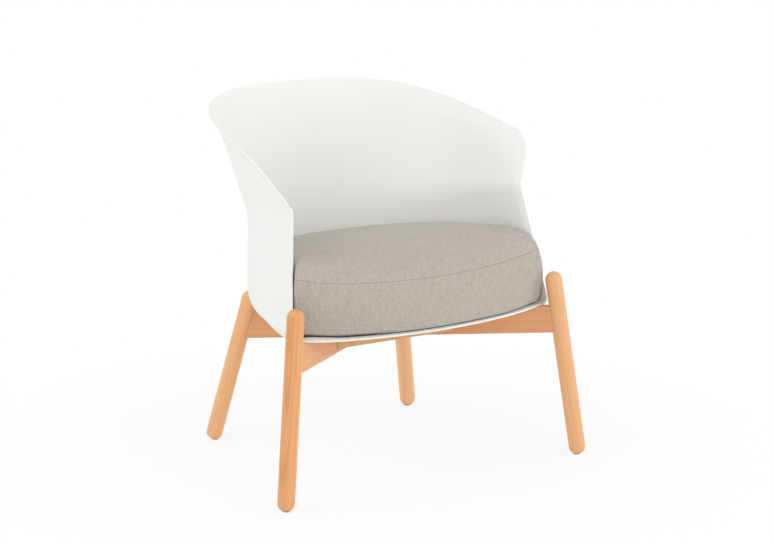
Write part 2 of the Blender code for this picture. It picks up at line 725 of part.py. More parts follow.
def main():
    clear_scene()
    beech = make_material("beech", (0.80, 0.46, 0.22), 0.45)
    dowel_wood = make_material("beech_dowel", (0.76, 0.50, 0.28), 0.6)
    white_plastic = make_material("white_plastic", (0.86, 0.87, 0.85), 0.4)
    fabric = make_material("grey_beige_weave", (0.50, 0.46, 0.41), 0.95)
    foam = make_material("seat_foam", (0.85, 0.80, 0.60), 0.95)
    plywood = make_material("plywood", (0.70, 0.55, 0.36), 0.7)
    steel = make_material("zinc_steel", (0.62, 0.62, 0.60), 0.35, 1.0)
    grey_plastic = make_material("grey_plastic", (0.35, 0.34, 0.33), 0.5)
    chair = make_empty("chair")
    seat = make_empty("seat_frame", chair, SEAT)
    make_legs(chair, seat, beech, dowel_wood)
    rails = make_rails(chair, seat, beech)
    make_stretcher(seat, rails, beech, dowel_wood)
    make_glides(chair, grey_plastic)
    make_shell(seat, white_plastic)
    make_cushion(seat, fabric, foam, plywood)
    make_bolts(seat, rails, steel)
    centre_over_origin(chair)


main()
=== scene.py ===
"""Looks of the waiting-room armchair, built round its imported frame.

Metres, +Z up. The chair faces -Y and its left side, as the sitter has it, is +X.
The seat frame leans back with the rails: its XY plane is the rails' top.
"""
import math
from collections import namedtuple

import bmesh
import bpy
from mathutils import Matrix, Vector
from mathutils.kdtree import KDTree


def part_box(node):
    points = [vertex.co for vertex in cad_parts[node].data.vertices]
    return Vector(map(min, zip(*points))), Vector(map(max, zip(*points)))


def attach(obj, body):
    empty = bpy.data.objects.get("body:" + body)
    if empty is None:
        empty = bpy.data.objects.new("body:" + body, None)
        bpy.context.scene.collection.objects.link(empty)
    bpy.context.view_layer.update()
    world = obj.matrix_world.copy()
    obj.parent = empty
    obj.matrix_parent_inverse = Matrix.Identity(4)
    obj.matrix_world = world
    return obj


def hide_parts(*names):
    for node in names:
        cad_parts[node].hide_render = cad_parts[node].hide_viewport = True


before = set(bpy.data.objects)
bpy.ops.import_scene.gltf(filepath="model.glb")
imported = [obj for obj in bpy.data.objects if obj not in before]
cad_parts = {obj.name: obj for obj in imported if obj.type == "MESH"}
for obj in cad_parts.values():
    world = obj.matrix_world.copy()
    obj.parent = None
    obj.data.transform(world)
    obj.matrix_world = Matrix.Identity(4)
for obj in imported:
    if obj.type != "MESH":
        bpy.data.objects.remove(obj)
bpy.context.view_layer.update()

# Frame, with the sizes of the part's source
FIT = 0.0003
FOOT_SPREAD = 0.485
LEG_DIAMETER = 0.034
SEAT_TILT = math.radians(4.75)
SEAT_HEIGHT = 0.2946
GLIDE_HEIGHT = 0.004
GLIDE_DIAMETER = 0.016
FRONT_FOOT_SPAN = 0.6856
REAR_FOOT_SPAN = 0.4788
FRONT_LEG_TOP = 0.383
REAR_LEG_TOP = 0.324
FRONT_SPLAY = (0.1222, 0.0919)
REAR_SPLAY = (0.2031, 0.1864)
RAIL_THICKNESS = 0.022
RAIL_DEPTH = 0.0545

# Legs
FOOT_CLEAR = 0.0012
FOOT_BLUNTNESS = 0.8
LEG_SIDES = 64
DOME_STEPS = 12
SHAFT_PARTS = 8

# Shell. Of two reaches, the first is at the arms' front and the second at the back.
Section = namedtuple("Section", "half_width front back squareness")
BASE = Section(0.300, -0.195, 0.211, 2.5)
CREASE = Section(0.264, -0.162, 0.223, 2.6)
RIM = Section(0.309, -0.122, 0.2837, 2.9)
OUTLINE_STEPS = 720
CREASE_HEIGHT = 0.2264
CREASE_SLOPE = -0.127
RIM_HEIGHT = 0.3754
RIM_SLOPE = 0.2955
SHELL_WALL = 0.006
BOTTOM_ROUND = (0.020, 0.085)
BOTTOM_FADE = 0.35
CREASE_ROUND = (0.006, 0.045)
ROLL_HEIGHT = 0.036
ROLL_DEPTH = 0.010
ROLL_BEND = 0.6
ROLL_FADE = 0.090
ARM_CORNER = 0.041
ARM_FLARE = 0.0095
FLARE_START = 0.050
CURL_WIDTH = 0.014
CURL_DEPTH = 0.0025
CURL_START = 6
CURL_ROWS = 10
THIN_WIDTH = 0.022
THIN_SHARE = 0.5
EDGE_BEVEL = 0.0012
BEVEL_ANGLE = math.radians(60)
LIP_BOW = 0.038
LIP_DIP = 0.0133
LIP_RAISED_TO = 0.20
LIP_RAISE_FADE = 0.06
DIP_START = -0.115
DIP_SIDES = 0.100
SHELL_COLUMNS = 96
COLUMN_GATHER = 1.7
LIP_COLUMNS = 32
PAN_RINGS = 14
PAN_GATHER = 1.3
BEND_STEPS = 12
WALL_STOPS = (1 / 4, 2 / 4, 3 / 4)
RIM_STOPS = (1 / 3, 2 / 3, 1)

# Cushion outline and boxing
CUSHION_GAP = 0.003
CUSHION_SHOULDER = -0.1745
Edge = namedtuple("Edge", "inset shoulder fullness reach clear")
SEAM_EDGE = Edge(0.0, CUSHION_SHOULDER, 0.017, 0.013, 0.002)
LOW_EDGE = Edge(0.0, CUSHION_SHOULDER, 0.0155, 0.015, 0.003)
PAN_EDGE = Edge(0.012, -0.165, 0.006, 0.014, 0.0125)
CORNER_STEPS = 24
BOXING_BULGE = 0.009
BULGE_START = -0.180
BULGE_FADE = 0.008
FRONT_BOTTOM_ROUND = 0.012
ROUND_FADE = 0.12
SEAM_HEIGHT = 0.120
SEAM_DIP = 0.0235
SEAM_SPAN = 0.3026
SEAM_FADE = 0.020
DIP_POWER = 2.2

# The cover sits a little further in, back and up at its right front: how far, and where
SETTLE = (0.008, 0.008, 0.005)
SETTLE_FRONT = -0.15
SETTLE_FRONT_FADE = 0.03
SETTLE_CORNER = 0.24
SETTLE_CORNER_FADE = 0.04
SETTLE_WIDTH = 0.2
SETTLE_POWER = 8

# Cushion top
CROWN = 0.0415
CROWN_LEAN = (0.28, 0.08)
CROWN_SQUARENESS = 6
CROWN_POWER = 0.42
CROWN_ROUND = 0.85
ROUND_EDGE = 0.2
SIDE_ROOM = 0.034
ROOM_FADE = 0.30
DROP_POWER = 6

# Cushion mesh, whose rows run from the crown over the seam and the boxing to the underside
CUSHION_COLUMNS = (10, 7, 18)
TOP_SHARES = (0.10, 0.22, 0.34, 0.46, 0.58, 0.69, 0.78, 0.86, 0.925, 0.965, 0.988)
BOXING_ROWS = 7
TURN_STEPS = 5
UNDER_SHARES = (0.72, 0.44, 0.18)
SEAM_ROW = len(TOP_SHARES)
TURN_ROW = SEAM_ROW + BOXING_ROWS + 1
STITCH_ROW = TURN_ROW + 1
SHADE_ROW = TURN_ROW + 2
UNDER_ROW = TURN_ROW + 3
SEAM_CREASE = 0.75
SLOPE_SPREAD = 0.8
BOXING_THREADS = 0.7

# Values of the cushion's seam attribute, which marks the stitch lines, the painted contact shadow
# at the foot of the boxing and the painted shade on the cloth turned under it
STITCHED = 1.0
# Painted contact shadow along the foot of the boxing, and where it fades in across the cushion
SHADED = 1.8
SHADE_START = 0.02
SHADE_FADE = 0.14
# Painted shade on the cloth turned under the boxing, which shows as a dark gap over the lip
PAINTED_UNDER_SHADE = 2.0

# Cloth simulation
SWELL_FRAMES = 20
SWELL_PRESSURE = 4.0
SWELL_CAP = 0.010
SWELL_EVENING = 20

# Colours
SHELL_WHITE = (0.915, 0.925, 0.903)
GLIDE_GREY = (0.42, 0.39, 0.35)
FABRIC_LIGHT = (0.575, 0.533, 0.486)
FABRIC_DARK = (0.403, 0.366, 0.326)
STITCH_DARK = (0.16, 0.13, 0.11)
# Painted shadow colour for the gap between the cushion's foot and the lip
PAINTED_GAP_SHADOW = (0.045, 0.038, 0.032)
ZINC_DARK = (0.52, 0.52, 0.50)
ZINC_LIGHT = (0.68, 0.68, 0.66)
PLY_LIGHT = (0.78, 0.64, 0.44)
PLY_DARK = (0.58, 0.43, 0.26)

# Beech: two tones, the width of the rings, the grain's contrast and where its pattern starts
Beech = namedtuple("Beech", "light dark rings contrast offset")
LEG_BEECH = {
    ("front", "left"): Beech((0.855, 0.475, 0.235), (0.700, 0.335, 0.135), 0.010, 0.6, 0.0),
    ("front", "right"): Beech((0.880, 0.450, 0.195), (0.600, 0.245, 0.080), 0.012, 0.9, 0.731),
    # The rear legs' tones are paler than the front legs': painted light against the shade under the
    # seat
    ("rear", "left"): Beech((0.930, 0.570, 0.312), (0.770, 0.425, 0.198), 0.010, 0.6, 1.462),
    ("rear", "right"): Beech((0.910, 0.512, 0.244), (0.740, 0.358, 0.141), 0.010, 0.6, 2.193),
}
RAIL_BEECH = {
    # The left rail's tone is darker than the right rail's: painted shade under the seat
    "left": Beech((0.780, 0.388, 0.183), (0.595, 0.264, 0.108), 0.014, 0.65, 0.31),
    "right": Beech((0.820, 0.410, 0.188), (0.640, 0.286, 0.114), 0.014, 0.65, 0.84),
}
STRETCHER_BEECH = Beech((0.800, 0.490, 0.240), (0.640, 0.345, 0.145), 0.012, 1.0, 0.87)
DOWEL_BEECH = Beech((0.76, 0.48, 0.25), (0.58, 0.32, 0.14), 0.006, 1.0, 0.13)

# How far the rings of each leg turn from facing X toward Y
LEG_RINGS_TURN = (0.25, 0.05, -0.15, -0.35)

# Weave
THREAD_PITCH = 0.0012
WEFT_SLUB = 0.013
WARP_SLUB = 0.020

# Stage
Lamp = namedtuple("Lamp", "name place power colour")
LAMPS = (
    Lamp("left", (-2.9, 0.2, 2.6), 21, (0.96, 0.98, 1.0)),
    Lamp("right", (3.0, -2.0, 1.1), 20, (1.0, 0.98, 0.96)),
    Lamp("front", (0.4, -3.4, 2.4), 20, (1.0, 0.98, 0.96)),
)
LAMP_SIZE = 1.8
LAMP_AIM = Vector((0, 0, 0.4))
SKY_COLOUR = (0.985, 0.99, 0.985)
SKY_STRENGTH = 0.78
FLOOR_SIZE = 30.0
FLOOR_PAINT = (0.99, 0.975, 0.96)
GLOW_LEAST = 0.78
GLOW_START = 0.35
GLOW_FULL = 0.95

# Camera, fitted to the photograph
CAMERA_PLACE = (-2.348, -3.807, 1.405)
CAMERA_DOWN = 12.94
CAMERA_TURN = -32.04
FOCAL_PIXELS = 2261.9
PICTURE_WIDTH = 774
SENSOR_WIDTH = 36.0
CAMERA_REACH = 200

SHIFT = sum(corner[1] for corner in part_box("glide_front_left")) / 2 + FOOT_SPREAD / 2
SEAT = Matrix.Translation((0, SHIFT, SEAT_HEIGHT)) @ Matrix.Rotation(-SEAT_TILT, 4, "X")
LEG_RADIUS = LEG_DIAMETER / 2
FOOT_CENTRE = GLIDE_HEIGHT + math.sqrt(LEG_RADIUS ** 2 - (GLIDE_DIAMETER / 2) ** 2)


# Helpers

def add_object(name, mesh, material):
    obj = bpy.data.objects.new(name, mesh)
    bpy.context.scene.collection.objects.link(obj)
    mesh.materials.append(material)
    return obj


def add_mesh_object(name, bm, material):
    """A smooth object from a bmesh, which is freed."""
    mesh = bpy.data.meshes.new(name)
    bm.to_mesh(mesh)
    bm.free()
    mesh.shade_smooth()
    return add_object(name, mesh, material)


def add_strip(bm, first, second, loop=False):
    """Quads between two rows of vertices."""
    faces = []
    count = len(first)
    for column in range(count if loop else count - 1):
        after = (column + 1) % count
        faces.append(bm.faces.new((first[column], second[column], second[after], first[after])))
    return faces


def resample(points, stops):
    """Points at the given shares of a polyline's length."""
    lengths = [0.0]
    for start, end in zip(points, points[1:]):
        lengths.append(lengths[-1] + (end - start).length)
    result = []
    piece = 0
    for stop in stops:
        target = stop * lengths[-1]
        while piece < len(points) - 2 and lengths[piece + 1] < target:
            piece += 1
        share = (target - lengths[piece]) / (lengths[piece + 1] - lengths[piece])
        result.append(points[piece].lerp(points[piece + 1], min(share, 1.0)))
    return result


def half_outline(section):
    """Left half of a section, from the middle of the back to the front end of the arm."""
    points = []
    length = section.back - section.front
    for step in range(OUTLINE_STEPS + 1):
        turn = math.pi / 2 * step / OUTLINE_STEPS
        depth = max(math.cos(turn), 0.0) ** (2 / section.squareness)
        width = math.sin(turn) ** (2 / section.squareness)
        points.append(Vector((section.half_width * width, section.front + length * depth, 0)))
    return points


def even_shares(count):
    return [step / count for step in range(count + 1)]


def gathered_shares(count, gather):
    """Shares that lie closer together toward the end."""
    return [1 - (1 - share) ** gather for share in even_shares(count)]


def smooth(value):
    value = min(max(value, 0.0), 1.0)
    return value * value * (3 - 2 * value)


def parabola(start, corner, end, steps):
    return [start.lerp(corner, share).lerp(corner.lerp(end, share), share)
            for share in even_shares(steps)]


def bend(before, corner, after, reach, steps):
    """A corner rounded by a parabola that starts and ends at a distance from it."""
    start = corner + (before - corner).normalized() * reach
    end = corner + (after - corner).normalized() * reach
    return parabola(start, corner, end, steps)


def points_tree(points):
    tree = KDTree(len(points))
    for index, point in enumerate(points):
        tree.insert(point, index)
    tree.balance()
    return tree


def inward_normals(points):
    """Level directions into an outline that runs from the back to the front on the left side."""
    normals = []
    for index in range(len(points)):
        run = points[min(index + 1, len(points) - 1)] - points[max(index - 1, 0)]
        normals.append(Vector((run.y, -run.x, 0)).normalized())
    normals[0] = Vector((0, -1, 0))
    return normals


# Places in the frame

def other_side(side):
    return "right" if side == "left" else "left"


def leg_axis(end, side):
    """Centres of the domes at a leg's foot and top."""
    sign = 1 if side == "left" else -1
    front = end == "front"
    span = FRONT_FOOT_SPAN if front else REAR_FOOT_SPAN
    splay = FRONT_SPLAY if front else REAR_SPLAY
    top = (FRONT_LEG_TOP if front else REAR_LEG_TOP) - LEG_RADIUS
    inward = Vector((-sign * splay[0], splay[1] if front else -splay[1], 1))
    ahead = (-1 if front else 1) * FOOT_SPREAD / 2 + SHIFT
    foot = Vector((sign * span / 2, ahead, FOOT_CENTRE))
    return foot, foot + inward * (top - FOOT_CENTRE)


def leg_at(end, side, height):
    """A leg's centre at a height in the seat frame."""
    foot, top = (SEAT.inverted() @ point for point in leg_axis(end, side))
    return foot.lerp(top, (height - foot.z) / (top.z - foot.z))


def rail_line(side):
    """Crossing and direction of a rail, in the seat frame."""
    front = leg_at("front", side, -RAIL_DEPTH / 2)
    rear = leg_at("rear", other_side(side), -RAIL_DEPTH / 2)
    way = Vector((rear.x - front.x, rear.y - front.y, 0)).normalized()
    return front.lerp(rear, front.x / (front.x - rear.x)), way


CROSSING, RAIL_WAY = rail_line("left")


def pan_drop(x, y):
    """How far the floor of the tub drops between the rails toward the middle of its front lip."""
    half_rail = (RAIL_THICKNESS / 2 + FIT) / RAIL_WAY.y
    room = (CROSSING.y - y) * -RAIL_WAY.x / RAIL_WAY.y - half_rail
    forward = max(DIP_START - y, 0.0) / (DIP_START - (BASE.front - LIP_BOW))
    beside = min(max(room - abs(x), 0.0) / DIP_SIDES, 1.0)
    return LIP_DIP * forward ** 2 * math.sin(math.pi / 2 * beside)


# Materials

class Nodes:
    """Short forms for building the node tree of a material or a world."""

    def __init__(self, owner):
        owner.use_nodes = True
        self.owner = owner
        self.tree = owner.node_tree

    def node(self, kind):
        return self.tree.nodes.new("ShaderNode" + kind)

    def link(self, source, target):
        """Feed a socket from another one, or give it a fixed value."""
        if isinstance(source, (int, float, tuple, Vector)):
            target.default_value = source
        else:
            self.tree.links.new(source, target)

    def set(self, socket, value):
        self.link(value, self.tree.nodes["Principled BSDF"].inputs[socket])

    def object_coords(self):
        return self.node("TexCoord").outputs["Object"]

    def attribute(self, name, output="Vector"):
        node = self.node("Attribute")
        node.attribute_name = name
        return node.outputs[output]

    def math(self, operation, first, second=0.0, clamp=False):
        node = self.node("Math")
        node.operation = operation
        node.use_clamp = clamp
        self.link(first, node.inputs[0])
        self.link(second, node.inputs[1])
        return node.outputs[0]

    def plus(self, first, second, clamp=False):
        return self.math("ADD", first, second, clamp)

    def times(self, first, second):
        return self.math("MULTIPLY", first, second)

    def sine(self, value, rate):
        return self.math("SINE", self.times(value, rate))

    def vector(self, operation, first, second=(0, 0, 0)):
        node = self.node("VectorMath")
        node.operation = operation
        self.link(first, node.inputs[0])
        self.link(second, node.inputs[1])
        return node.outputs["Value" if operation in ("DOT_PRODUCT", "LENGTH") else "Vector"]

    def combine(self, x, y, z):
        node = self.node("CombineXYZ")
        for socket, value in zip(node.inputs, (x, y, z)):
            self.link(value, socket)
        return node.outputs[0]

    def separate(self, vector):
        node = self.node("SeparateXYZ")
        self.link(vector, node.inputs[0])
        return node.outputs

    def noise(self, vector, scale=1.0, detail=2.0, roughness=0.5):
        node = self.node("TexNoise")
        self.link(vector, node.inputs["Vector"])
        node.inputs["Scale"].default_value = scale
        node.inputs["Detail"].default_value = detail
        node.inputs["Roughness"].default_value = roughness
        return node.outputs["Fac"]

    def ramp(self, value, low, high, least=0.0, smooth_step=True):
        """The least value at low, 1 at high."""
        node = self.node("MapRange")
        node.interpolation_type = "SMOOTHSTEP" if smooth_step else "LINEAR"
        self.link(value, node.inputs["Value"])
        node.inputs["From Min"].default_value = low
        node.inputs["From Max"].default_value = high
        node.inputs["To Min"].default_value = least
        return node.outputs["Result"]

    def mix(self, share, first, second):
        """Colour between two colours."""
        node = self.node("Mix")
        node.data_type = "RGBA"
        self.link(share, node.inputs["Factor"])
        for value, socket in ((first, node.inputs["A"]), (second, node.inputs["B"])):
            self.link((*value, 1.0) if isinstance(value, tuple) else value, socket)
        return node.outputs["Result"]

    def mix_shaders(self, share, first, second):
        node = self.node("MixShader")
        self.link(share, node.inputs["Fac"])
        self.link(first.outputs[0], node.inputs[1])
        self.link(second.outputs[0], node.inputs[2])
        return node.outputs[0]

    def bump(self, height, distance, strength):
        node = self.node("Bump")
        node.inputs["Strength"].default_value = strength
        node.inputs["Distance"].default_value = distance
        self.link(height, node.inputs["Height"])
        self.set("Normal", node.outputs["Normal"])


def new_material(name):
    return Nodes(bpy.data.materials.new(name))


def plastic(name, colour, roughness, grain):
    """Moulded plastic: even colour with a fine sparkless grain and slow changes of gloss."""
    made = new_material(name)
    place = made.object_coords()
    slow = made.noise(place, scale=6.0)
    fine = made.noise(place, scale=1 / grain)
    dark = tuple(channel * 0.97 for channel in colour)
    gloss_range = 0.08
    made.set("Base Color", made.mix(slow, dark, colour))
    made.set("Roughness", made.plus(made.times(slow, gloss_range), roughness - gloss_range / 2))
    made.set("IOR", 1.46)
    made.bump(fine, distance=grain * 0.06, strength=0.35)
    return made.owner


def wood(name, tone, grain, across):
    """Lacquered beech: growth rings, fine pores along the grain and short ray flecks."""
    made = new_material(name)
    grain = grain.normalized()
    third = grain.cross(across).normalized()
    across = third.cross(grain)
    place = made.object_coords()
    along = made.plus(made.vector("DOT_PRODUCT", place, grain), tone.offset)
    side = made.plus(made.vector("DOT_PRODUCT", place, across), tone.offset * 0.37)
    deep = made.vector("DOT_PRODUCT", place, third)

    def streaks(lengthwise, crosswise, detail):
        """Noise with so many changes a metre along the grain and across it."""
        stretched = made.combine(made.times(along, lengthwise), made.times(side, crosswise),
                                 made.times(deep, crosswise))
        return made.noise(stretched, detail=detail)

    drift = streaks(lengthwise=2.2, crosswise=22, detail=2)
    ring = made.plus(made.times(side, 1 / tone.rings), made.times(drift, 5.0))
    ring = made.plus(made.times(made.sine(ring, math.tau), 0.5), 0.5)
    ring = made.math("POWER", ring, 2.2)
    pores = streaks(lengthwise=7, crosswise=620, detail=4)
    broad = streaks(lengthwise=1.3, crosswise=34, detail=2)
    fleck = made.ramp(streaks(lengthwise=150, crosswise=1500, detail=1), 0.62, 0.72)
    shade = made.times(ring, 0.32 * tone.contrast)
    shade = made.plus(shade, made.times(made.ramp(pores, 0.3, 0.75), 0.34 * tone.contrast))
    shade = made.plus(shade, made.times(made.ramp(broad, 0.3, 0.7), 0.30 * tone.contrast))
    shade = made.plus(shade, made.times(fleck, 0.16), clamp=True)
    made.set("Base Color", made.mix(shade, tone.light, tone.dark))
    made.set("Roughness", made.plus(made.times(pores, 0.14), 0.34))
    made.set("IOR", 1.45)
    made.bump(made.plus(pores, made.times(fleck, 0.5)), distance=0.00012, strength=0.5)
    return made.owner


def fabric(name):
    """Melange plain weave with dark stitch lines and painted shade at the cushion's foot. The
    thread attribute runs along the cloth in metres.
    """
    made = new_material(name)
    across, up, _ = made.separate(made.attribute("thread"))
    weave_rate = math.pi / THREAD_PITCH

    def flat(first, first_scale, second, second_scale):
        return made.combine(made.times(first, first_scale), made.times(second, second_scale), 0.0)

    def threads(run, side, length):
        """Slubbed tone of one thread system, and the thread's roundness."""
        wander = made.noise(flat(run, 30, side, 30), detail=1)
        side = made.plus(side, made.times(wander, THREAD_PITCH))
        slub = made.noise(flat(run, 1 / length, side, 0.42 / THREAD_PITCH), roughness=0.55)
        fibre = made.noise(flat(run, 5 / length, side, 1.1 / THREAD_PITCH), roughness=0.6)
        tone = made.plus(made.times(slub, 0.65), made.times(fibre, 0.35))
        return tone, made.math("ABSOLUTE", made.sine(side, weave_rate))

    weft, weft_round = threads(across, up, WEFT_SLUB)
    warp, warp_round = threads(up, across, WARP_SLUB)
    checks = made.times(made.sine(across, weave_rate), made.sine(up, weave_rate))
    over = made.ramp(checks, -0.35, 0.35)
    tone = made.plus(made.times(weft, 0.45), made.times(warp, 0.55))
    tone = made.ramp(tone, 0.36, 0.66, smooth_step=False)
    cloud = made.noise(flat(across, 11, up, 11), detail=3)
    light = made.mix(cloud, FABRIC_LIGHT, tuple(channel * 1.06 for channel in FABRIC_LIGHT))
    colour = made.mix(tone, FABRIC_DARK, light)
    seam = made.attribute("seam", "Fac")
    line = made.ramp(seam, STITCHED - 0.1, STITCHED - 0.015)
    colour = made.mix(made.times(line, 0.32), colour, STITCH_DARK)
    # Painted shade: the cloth at the foot of the boxing and under it turns dark, as the shadow gap
    # over the lip
    colour = made.mix(made.ramp(seam, STITCHED + 0.1, PAINTED_UNDER_SHADE - 0.1), colour, PAINTED_GAP_SHADOW)
    made.set("Base Color", colour)
    made.set("Roughness", made.plus(made.times(weft, 0.1), 0.83))
    made.set("Sheen Weight", 0.2)
    made.set("Sheen Roughness", 0.45)
    made.set("Sheen Tint", (0.9, 0.88, 0.84, 1.0))
    made.set("Specular IOR Level", 0.2)
    under = made.math("SUBTRACT", 1.0, over)
    height = made.plus(made.times(over, weft_round), made.times(under, warp_round))
    height = made.plus(height, made.times(tone, 0.6))
    height = made.math("SUBTRACT", height, made.times(line, 1.5))
    made.bump(height, distance=0.0004, strength=0.5)
    return made.owner


def steel(name):
    """Zinc plated steel with fine scratches."""
    made = new_material(name)
    scratches = made.vector("MULTIPLY", made.object_coords(), (900, 900, 120))
    fine = made.noise(scratches, detail=3)
    made.set("Base Color", made.mix(fine, ZINC_DARK, ZINC_LIGHT))
    made.set("Metallic", 1.0)
    made.set("Roughness", made.plus(made.times(fine, 0.2), 0.25))
    made.bump(fine, distance=0.0001, strength=0.4)
    return made.owner


def plywood(name):
    """Birch plywood: plies that show at the edge and long pale grain on the faces."""
    made = new_material(name)
    place = made.object_coords()
    two_plies = 0.0024
    ply = made.sine(made.separate(place)[2], math.tau / two_plies)
    fine = made.noise(made.vector("MULTIPLY", place, (8, 500, 500)), detail=3)
    made.set("Base Color", made.mix(made.plus(made.times(ply, 0.2), fine), PLY_LIGHT, PLY_DARK))
    made.set("Roughness", 0.7)
    made.bump(fine, distance=0.0002, strength=0.4)
    return made.owner


# Shell

def wall_columns():
    """Profiles of the tub's outer face, floor to rim, from the back to the arm's front."""
    shares = gathered_shares(SHELL_COLUMNS, COLUMN_GATHER)
    base, crease, rim = (resample(half_outline(section), shares) for section in (BASE, CREASE, RIM))
    for point in rim:
        ahead = max(FLARE_START - point.y, 0.0) / (FLARE_START - RIM.front)
        point.x += ARM_FLARE * ahead ** 2
        point.z = RIM_HEIGHT + RIM_SLOPE * point.y
    profiles = []
    for share, low, middle, high, inside in zip(shares, base, crease, rim, inward_normals(base)):
        middle.z = CREASE_HEIGHT + CREASE_SLOPE * middle.y
        from_front = (high - rim[-1]).length
        if from_front < ARM_CORNER:
            shorten = ARM_CORNER * (1 - math.sqrt(1 - (1 - from_front / ARM_CORNER) ** 2))
            high = high + (middle - high).normalized() * shorten
        fade = smooth((1 - share) / BOTTOM_FADE)
        bottom_reach = BOTTOM_ROUND[0] + (BOTTOM_ROUND[1] - BOTTOM_ROUND[0]) * fade
        crease_reach = CREASE_ROUND[0] + (CREASE_ROUND[1] - CREASE_ROUND[0]) * (1 - share)
        outward = Vector((high.x - middle.x, high.y - middle.y, 0)).normalized()
        roll_reach = min(ROLL_HEIGHT, (high - middle).length / 2)
        roll_out = ROLL_DEPTH * smooth(from_front / ROLL_FADE)
        roll = high + (middle - high).normalized() * roll_reach - outward * roll_out
        lower = bend(low + inside, low, middle, bottom_reach, BEND_STEPS)
        fold = bend(low, middle, roll, crease_reach, BEND_STEPS)
        upper = bend(middle, roll, high, roll_reach * ROLL_BEND, BEND_STEPS)
        profile = lower + [lower[-1].lerp(fold[0], stop) for stop in WALL_STOPS]
        profile += fold + [fold[-1].lerp(upper[0], stop) for stop in WALL_STOPS]
        profile += upper + [upper[-1].lerp(high, stop) for stop in RIM_STOPS]
        profiles.append(profile)
    return profiles


def curl_front_edge(profiles):
    """Curl the wall outward along the arm's front edge."""
    for row in range(CURL_START, len(profiles[0])):
        tip = profiles[-1][row].copy()
        depth = CURL_DEPTH * smooth((row - CURL_START) / CURL_ROWS)
        for profile in profiles:
            away = (profile[row] - tip).length
            if away < CURL_WIDTH:
                profile[row].x += depth * (1 - away / CURL_WIDTH) ** 2


def make_shell(material):
    """Left half of the tub as a sheet, mirrored and given its wall."""
    bm = bmesh.new()
    profiles = wall_columns()
    curl_front_edge(profiles)
    edge = [profile[0] for profile in profiles]
    corner = edge[-1]
    for share in even_shares(LIP_COLUMNS)[1:]:
        x = corner.x * (1 - share)
        edge.append(Vector((x, corner.y - LIP_BOW * (1 - (x / corner.x) ** 2), 0)))
    pole = Vector((0, (edge[0].y + edge[-1].y) / 2, 0))
    rings = []
    for share in gathered_shares(PAN_RINGS, PAN_GATHER)[1:]:
        points = [pole.lerp(point, share) for point in edge]
        rings.append([bm.verts.new((p.x, p.y, FIT - pan_drop(p.x, p.y))) for p in points])
    centre = bm.verts.new((0, pole.y, FIT))
    for start, end in zip(rings[0], rings[0][1:]):
        bm.faces.new((centre, start, end))
    wall = [rings[-1][:len(profiles)]]
    for row in range(1, len(profiles[0])):
        wall.append([bm.verts.new(profile[row] + Vector((0, 0, FIT))) for profile in profiles])
    for inner, outer in list(zip(rings, rings[1:])) + list(zip(wall, wall[1:])):
        add_strip(bm, inner, outer)
    lip = [vert.co.copy() for vert in rings[-1][len(profiles) - 1:]]
    free = lip + [vert.co.copy() for vert in wall[-1]] + [row[-1].co.copy() for row in wall]
    lip_tree, free_tree = points_tree(lip), points_tree(free)
    fullness = []
    for vert in bm.verts:
        fullness.append(smooth(free_tree.find(vert.co)[2] / THIN_WIDTH))
        near_lip = 1 - smooth(lip_tree.find(vert.co)[2] / THIN_WIDTH)
        raised = 1 - smooth((vert.co.x - LIP_RAISED_TO) / LIP_RAISE_FADE)
        vert.co.z += SHELL_WALL * THIN_SHARE * near_lip * raised
    shell = add_mesh_object("tub_shell", bm, material)
    shell.data.transform(SEAT)
    mirror = shell.modifiers.new("both_sides", "MIRROR")
    mirror.merge_threshold = 0.00001
    group = shell.vertex_groups.new(name="full_wall")
    for index, weight in enumerate(fullness):
        group.add([index], weight, "REPLACE")
    solid = shell.modifiers.new("wall", "SOLIDIFY")
    solid.thickness = SHELL_WALL
    solid.offset = -1
    solid.vertex_group = "full_wall"
    solid.thickness_vertex_group = THIN_SHARE
    rounded = shell.modifiers.new("rounded_edges", "BEVEL")
    rounded.width = EDGE_BEVEL
    rounded.segments = 4
    rounded.limit_method = "ANGLE"
    rounded.angle_limit = BEVEL_ANGLE
    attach(shell, "root")
    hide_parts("shell")


# Cushion

def wall_section(height):
    share = height / CREASE_HEIGHT
    return Section(*(low + (high - low) * share for low, high in zip(BASE, CREASE)))


def front_line(x):
    """How far forward the lip runs."""
    share = min(x / (BASE.half_width - BOTTOM_ROUND[0]), 1.0)
    return BASE.front - LIP_BOW * (1 - share ** 2)


def cushion_outline(ends):
    """Left half of an outline of the cushion, from the middle of the back to that of the front."""
    wall = half_outline(wall_section(SEAM_HEIGHT))
    clear = SHELL_WALL + CUSHION_GAP + ends.inset
    sides = [point + way * clear for point, way in zip(wall, inward_normals(wall))]
    sides = [point for point in sides if point.y > ends.shoulder]
    shoulder = sides[-1]
    corner = shoulder + Vector((ends.fullness, 0, 0))
    bow = [Vector((corner.x * (1 - share), 0, 0)) for share in even_shares(CORNER_STEPS)]
    for point in bow:
        point.y = front_line(point.x) + ends.clear
    turn = bend(shoulder, bow[0], bow[1], ends.reach, CORNER_STEPS)
    front = [turn[-1]] + [point for point in bow if point.x < turn[-1].x]
    lines = [resample(line, even_shares(count))
             for line, count in zip((sides, turn, front), CUSHION_COLUMNS)]
    return lines[0] + lines[1] + lines[2][1:]


def seam_drop(x, y):
    """How far the cushion's top seam drops toward the middle of the front."""
    forward = smooth((CUSHION_SHOULDER - y) / SEAM_FADE)
    return SEAM_DIP * forward * (1 - (abs(x) / SEAM_SPAN) ** DIP_POWER)


